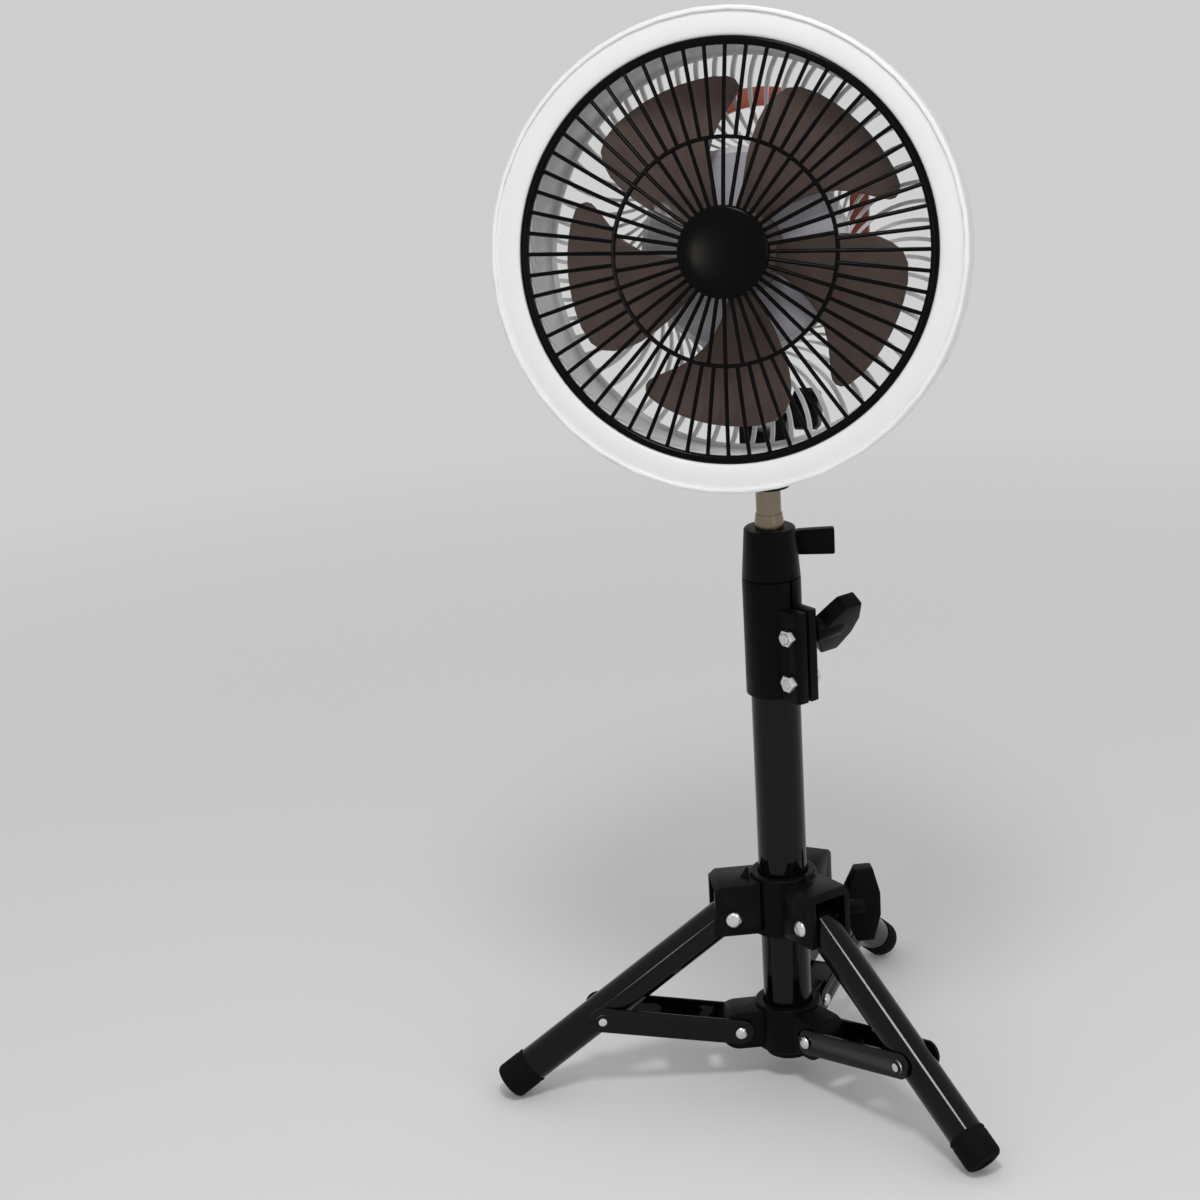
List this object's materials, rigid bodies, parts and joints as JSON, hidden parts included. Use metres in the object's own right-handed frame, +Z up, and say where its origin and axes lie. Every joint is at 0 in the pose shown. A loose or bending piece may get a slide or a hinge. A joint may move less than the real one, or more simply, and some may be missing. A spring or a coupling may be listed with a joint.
{
  "type": "portable camping fan",
  "caption": "Round rechargeable fan head with a ring light and a rear hanging hook, tilting on a small folding telescopic tripod.",
  "frame": {"origin": "on the tripod's axis at floor level", "axes": "+Z up along the main tube, the fan head faces -Y, +X to the fan's right as seen from the front"},
  "size_m": [0.2336, 0.2293, 0.4947],
  "materials": {
    "black_metal": "gloss black enamel",
    "black_plastic": "satin black",
    "grille_plastic": "semi-gloss black",
    "white_plastic": "satin white",
    "diffuser": "milky, satin",
    "grey_plastic": "satin light grey",
    "smoke_plastic": "translucent smoky grey",
    "rubber": "matte black",
    "nickel": "polished nickel plate",
    "steel": "zinc-plated",
    "hook_plastic": "satin rust red",
    "board": "solder-mask green",
    "battery": "blue shrink wrap",
    "motor_metal": "plain steel can",
    "button_plastic": "dark grey, satin",
    "lens": "clear, frosted"
  },
  "bodies": {
    "column": {"main_tube": "black_metal", "tube_plug": "black_plastic", "lower_collar": "black_plastic", "collar_pin_1": "steel", "collar_pin_2": "steel", "collar_pin_3": "steel", "lower_clamp": "black_plastic", "lower_knob_nut": "steel", "fixed_nut": "steel", "fixed_bolt": "steel"},
    "hub": {"leg_hub": "black_plastic", "hub_pin_1": "steel", "hub_pin_2": "steel", "hub_pin_3": "steel"},
    "middle": {"middle_tube": "black_metal", "middle_bush": "black_plastic", "upper_clamp": "black_plastic", "upper_knob_nut": "steel"},
    "inner": {"inner_tube": "nickel", "inner_stop": "black_plastic", "ferrule": "nickel"},
    "bracket": {"tilt_bracket": "black_plastic", "tilt_nut": "steel"},
    "head": {"ring_housing": "white_plastic", "led_board": "board", "ring_diffuser": "diffuser", "front_grille": "grille_plastic", "hub_cap": "grille_plastic", "rear_grille": "white_plastic", "ring_screw_1": "steel", "ring_screw_2": "steel", "ring_screw_3": "steel", "pod_shell": "grey_plastic", "hook_pin_left": "steel", "hook_pin_right": "steel", "pod_cover": "grey_plastic", "battery_pack": "battery", "motor": "motor_metal", "circuit_board": "board", "charging_port": "steel", "indicator_lens": "lens"},
    "rotor": {"fan_rotor": "smoke_plastic", "motor_shaft": "steel", "rotor_nut": "grille_plastic"},
    "hook": {"hanging_hook": "hook_plastic"},
    "power": {"power_button": "button_plastic"},
    "light": {"light_button": "button_plastic"},
    "lower_wing": {"lower_knob": "black_plastic"},
    "upper_bar": {"upper_knob": "black_plastic"},
    "hub_wing": {"hub_knob": "black_plastic"},
    "tilt_wheel": {"tilt_knob": "black_plastic"},
    "leg_1": {"leg_1": "black_metal", "foot_1": "rubber"},
    "strut_1": {"strut_1": "black_metal"},
    "leg_2": {"leg_2": "black_metal", "foot_2": "rubber"},
    "strut_2": {"strut_2": "black_metal"},
    "leg_3": {"leg_3": "black_metal", "foot_3": "rubber"},
    "strut_3": {"strut_3": "black_metal"}
  },
  "joints": [
    {"name": "fold_slide", "type": "slide", "parent": "column", "child": "hub", "axis": [0, 0, 1], "range_m": [0, 0.0801]},
    {"name": "leg_fold_1", "type": "hinge", "parent": "hub", "child": "leg_1", "pos_m": [-0.02359, -0.00766, 0.08278], "axis": [0.309, -0.9511, 0], "range_deg": [0, 42.65]},
    {"name": "strut_fold_1", "type": "hinge", "parent": "column", "child": "strut_1", "pos_m": [-0.02235, -0.00726, 0.0253], "axis": [-0.309, 0.9511, 0], "range_deg": [0, 63.52]},
    {"name": "leg_fold_2", "type": "hinge", "parent": "hub", "child": "leg_2", "pos_m": [0.01843, -0.01659, 0.08278], "axis": [0.6691, 0.7431, 0], "range_deg": [0, 42.65]},
    {"name": "strut_fold_2", "type": "hinge", "parent": "column", "child": "strut_2", "pos_m": [0.01746, -0.01572, 0.0253], "axis": [-0.6691, -0.7431, 0], "range_deg": [0, 63.52]},
    {"name": "leg_fold_3", "type": "hinge", "parent": "hub", "child": "leg_3", "pos_m": [0.00516, 0.02426, 0.08278], "axis": [-0.9781, 0.2079, 0], "range_deg": [0, 42.65]},
    {"name": "strut_fold_3", "type": "hinge", "parent": "column", "child": "strut_3", "pos_m": [0.00489, 0.02299, 0.0253], "axis": [0.9781, -0.2079, 0], "range_deg": [0, 63.52]},
    {"name": "middle_slide", "type": "slide", "parent": "column", "child": "middle", "axis": [0, 0, 1], "range_m": [0, 0.12]},
    {"name": "inner_slide", "type": "slide", "parent": "middle", "child": "inner", "axis": [0, 0, 1], "range_m": [0, 0.14]},
    {"name": "pan", "type": "hinge", "parent": "inner", "child": "bracket", "pos_m": [0, 0, 0.2817], "axis": [0, 0, 1], "range_deg": [-180, 180]},
    {"name": "head_tilt", "type": "hinge", "parent": "bracket", "child": "head", "pos_m": [0, 0, 0.3163], "axis": [1, 0, 0], "range_deg": [-75, 35]},
    {"name": "rotor_spin", "type": "hinge", "parent": "head", "child": "rotor", "pos_m": [0, -0.05301, 0.3957], "axis": [0, -0.9816, 0.1908], "continuous": true},
    {"name": "hook_swing", "type": "hinge", "parent": "head", "child": "hook", "pos_m": [0, 0.01571, 0.38235], "axis": [-1, 0, 0], "range_deg": [0, 105]},
    {"name": "power_press", "type": "slide", "parent": "head", "child": "power", "axis": [0, -0.9816, 0.1908], "range_m": [0, 0.0008], "stiffness_N_per_m": 900},
    {"name": "light_press", "type": "slide", "parent": "head", "child": "light", "axis": [0, -0.9816, 0.1908], "range_m": [0, 0.0008], "stiffness_N_per_m": 900},
    {"name": "lower_knob_turn", "type": "hinge", "parent": "column", "child": "lower_wing", "pos_m": [0.01799, -0.00687, 0.218], "axis": [0.6428, 0.766, 0], "range_deg": [-180, 180]},
    {"name": "upper_knob_turn", "type": "hinge", "parent": "middle", "child": "upper_bar", "pos_m": [0.00354, 0.01683, 0.25115], "axis": [0.986, 0.1668, 0], "range_deg": [-180, 180]},
    {"name": "hub_knob_turn", "type": "hinge", "parent": "hub", "child": "hub_wing", "pos_m": [0.02283, 0.00742, 0.08048], "axis": [0.9511, 0.309, 0], "range_deg": [-180, 180]},
    {"name": "tilt_knob_turn", "type": "hinge", "parent": "bracket", "child": "tilt_wheel", "pos_m": [0.01, 0, 0.3163], "axis": [1, 0, 0], "range_deg": [-180, 180]}
  ],
  "couplings": [
    {"joint": "leg_fold_1", "follows": "fold_slide", "rad_per_m": 9.2828},
    {"joint": "strut_fold_1", "follows": "fold_slide", "rad_per_m": 13.83},
    {"joint": "leg_fold_2", "follows": "fold_slide", "rad_per_m": 9.2828},
    {"joint": "strut_fold_2", "follows": "fold_slide", "rad_per_m": 13.83},
    {"joint": "leg_fold_3", "follows": "fold_slide", "rad_per_m": 9.2828},
    {"joint": "strut_fold_3", "follows": "fold_slide", "rad_per_m": 13.83}
  ]
}
